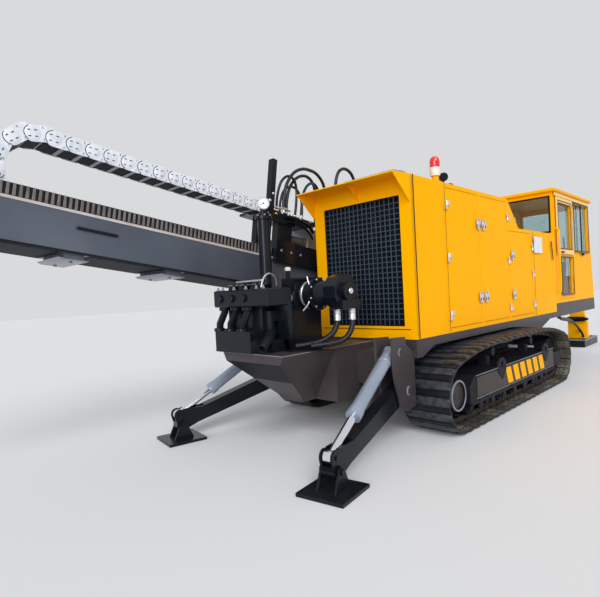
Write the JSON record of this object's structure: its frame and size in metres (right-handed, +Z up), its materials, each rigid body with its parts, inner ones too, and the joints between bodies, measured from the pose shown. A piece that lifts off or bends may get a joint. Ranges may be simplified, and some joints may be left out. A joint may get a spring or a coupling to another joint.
{
  "type": "horizontal directional drill",
  "caption": "Tracked horizontal directional drill: inclined mast with carriage and drag chain, mud pump and outriggers at the rear, long engine housing and operator's cab",
  "frame": {"origin": "middle of the whole machine's length on the ground, half way between the two tracks", "axes": "+X towards the cab and the mast's lower end, +Y to the machine's left, +Z up"},
  "size_m": [13.4238, 2.7194, 3.2007],
  "materials": {
    "yellow": "gloss yellow paint",
    "black": "gloss black paint",
    "red": "red lens",
    "glass": "clear, slightly green",
    "brown": "brown-grey paint",
    "chain": "bright silver",
    "steel": "dark worn steel",
    "chrome": "polished",
    "seat": "black cloth",
    "rubber": "black hose",
    "grille": "dark blue-black mesh",
    "grey": "grey paint"
  },
  "bodies": {
    "chassis": {"beacon": "red", "cab_body": "yellow", "cab_glass_front": "glass", "cab_glass_left": "glass", "cab_glass_rear": "glass", "cab_glass_side": "glass", "cab_roof": "yellow", "chassis_frame": "brown", "engine_block": "steel", "housing_rear_frame": "yellow", "housing_right_frame": "yellow", "housing_shell": "yellow", "operator_console": "steel", "operator_seat": "seat", "outrigger_bracket_left": "brown", "outrigger_bracket_right": "brown", "pump_fluid_end": "black", "pump_hose_1": "rubber", "pump_hose_2": "rubber", "pump_motor": "black", "pump_power_end": "black", "radiator": "grille", "radiator_grille": "grille", "rear_hull": "brown", "track_frame_left": "brown", "track_frame_right": "brown", "track_left": "steel", "track_right": "steel"},
    "mast": {"mast_beam": "black", "drill_vise": "black", "drag_chain_lower": "chain", "drag_chain_upper": "chain", "anchor_plate": "black", "anchor_drive": "yellow", "anchor_ram": "black"},
    "carriage": {"carriage_slider": "black", "hose_gantry": "black", "rotary_head": "grey"},
    "spindle": {"spindle": "chrome"},
    "door_a_leaf": {"door_a": "yellow"},
    "door_b_leaf": {"door_b": "yellow"},
    "door_c_leaf": {"door_c": "yellow"},
    "cab_door_leaf": {"cab_door": "yellow", "cab_door_glass_upper": "glass", "cab_door_glass_lower": "glass"},
    "tilt_barrel_body": {"mast_tilt_barrel": "black"},
    "tilt_rod_body": {"mast_tilt_rod": "chrome"},
    "outrigger_right_leg": {"outrigger_leg_right": "black"},
    "outrigger_right_pad": {"outrigger_pad_right": "black"},
    "outrigger_right_barrel_body": {"outrigger_right_barrel": "black"},
    "outrigger_right_rod_body": {"outrigger_right_rod": "chrome"},
    "outrigger_left_leg": {"outrigger_leg_left": "black"},
    "outrigger_left_pad": {"outrigger_pad_left": "black"},
    "outrigger_left_barrel_body": {"outrigger_left_barrel": "black"},
    "outrigger_left_rod_body": {"outrigger_left_rod": "chrome"}
  },
  "joints": [
    {"name": "mast_tilt", "type": "hinge", "parent": "chassis", "child": "mast", "pos_m": [0.51186, 0.91, 1.289], "axis": [0, 1, 0], "range_deg": [-9, 0]},
    {"name": "carriage_slide", "type": "slide", "parent": "mast", "child": "carriage", "axis": [0.9877, 0, -0.1564], "range_m": [-2.2, 6.4], "deforming": ["drag_chain_upper"]},
    {"name": "spindle_spin", "type": "hinge", "parent": "carriage", "child": "spindle", "pos_m": [-1.38912, 1.065, 2.19756], "axis": [0.9877, 0, -0.1564], "continuous": true},
    {"name": "door_a_hinge", "type": "hinge", "parent": "chassis", "child": "door_a_leaf", "pos_m": [-1.37414, -1.003, 1.07], "axis": [0, 0, 1], "range_deg": [-100, 0]},
    {"name": "door_b_hinge", "type": "hinge", "parent": "chassis", "child": "door_b_leaf", "pos_m": [0.34786, -1.003, 1.07], "axis": [0, 0, 1], "range_deg": [0, 100]},
    {"name": "door_c_hinge", "type": "hinge", "parent": "chassis", "child": "door_c_leaf", "pos_m": [1.26786, -1.003, 1.07], "axis": [0, 0, 1], "range_deg": [0, 100]},
    {"name": "cab_door_hinge", "type": "hinge", "parent": "chassis", "child": "cab_door_leaf", "pos_m": [3.37186, -1.003, 1.22], "axis": [0, 0, 1], "range_deg": [0, 100]},
    {"name": "outrigger_right_leg_swing", "type": "hinge", "parent": "chassis", "child": "outrigger_right_leg", "pos_m": [-2.32414, -0.89, 0.532], "axis": [-0.1702, 0.9854, 0], "range_deg": [0, 25]},
    {"name": "outrigger_right_pad_swivel", "type": "hinge", "parent": "outrigger_right_leg", "child": "outrigger_right_pad", "pos_m": [-3.63868, -1.11706, 0.17], "axis": [-0.1702, 0.9854, 0], "range_deg": [-28, 12]},
    {"name": "outrigger_right_barrel_swing", "type": "hinge", "parent": "chassis", "child": "outrigger_right_barrel_body", "pos_m": [-2.49166, -0.91894, 0.937], "axis": [-0.1702, 0.9854, 0], "range_deg": [0, 28.04]},
    {"name": "outrigger_right_rod_slide", "type": "slide", "parent": "outrigger_right_barrel_body", "child": "outrigger_right_rod_body", "axis": [0.8633, 0.1491, 0.4822], "range_m": [0, 0.1937]},
    {"name": "outrigger_left_leg_swing", "type": "hinge", "parent": "chassis", "child": "outrigger_left_leg", "pos_m": [-2.32414, 0.89, 0.532], "axis": [0.1702, 0.9854, 0], "range_deg": [0, 25]},
    {"name": "outrigger_left_pad_swivel", "type": "hinge", "parent": "outrigger_left_leg", "child": "outrigger_left_pad", "pos_m": [-3.63868, 1.11706, 0.17], "axis": [0.1702, 0.9854, 0], "range_deg": [-28, 12]},
    {"name": "outrigger_left_barrel_swing", "type": "hinge", "parent": "chassis", "child": "outrigger_left_barrel_body", "pos_m": [-2.49166, 0.91894, 0.937], "axis": [0.1702, 0.9854, 0], "range_deg": [0, 28.04]},
    {"name": "outrigger_left_rod_slide", "type": "slide", "parent": "outrigger_left_barrel_body", "child": "outrigger_left_rod_body", "axis": [0.8633, -0.1491, 0.4822], "range_m": [0, 0.1937]},
    {"name": "mast_tilt_barrel_swing", "type": "hinge", "parent": "chassis", "child": "tilt_barrel_body", "pos_m": [-1.53814, 0.47, 0.75], "axis": [0, 1, 0], "range_deg": [-11.72, 0]},
    {"name": "mast_tilt_rod_slide", "type": "slide", "parent": "tilt_barrel_body", "child": "tilt_rod_body", "axis": [0.2019, 0, -0.9794], "range_m": [0, 0.3375]}
  ],
  "couplings": [
    {"joint": "outrigger_right_barrel_swing", "follows": "outrigger_right_leg_swing", "ratio": 1.0272},
    {"joint": "outrigger_right_rod_slide", "follows": "outrigger_right_leg_swing", "m_per_rad": 0.43515},
    {"joint": "outrigger_left_barrel_swing", "follows": "outrigger_left_leg_swing", "ratio": 1.0272},
    {"joint": "outrigger_left_rod_slide", "follows": "outrigger_left_leg_swing", "m_per_rad": 0.43515},
    {"joint": "mast_tilt_barrel_swing", "follows": "mast_tilt", "ratio": 1.0336},
    {"joint": "mast_tilt_rod_slide", "follows": "mast_tilt", "m_per_rad": -2.1188}
  ]
}
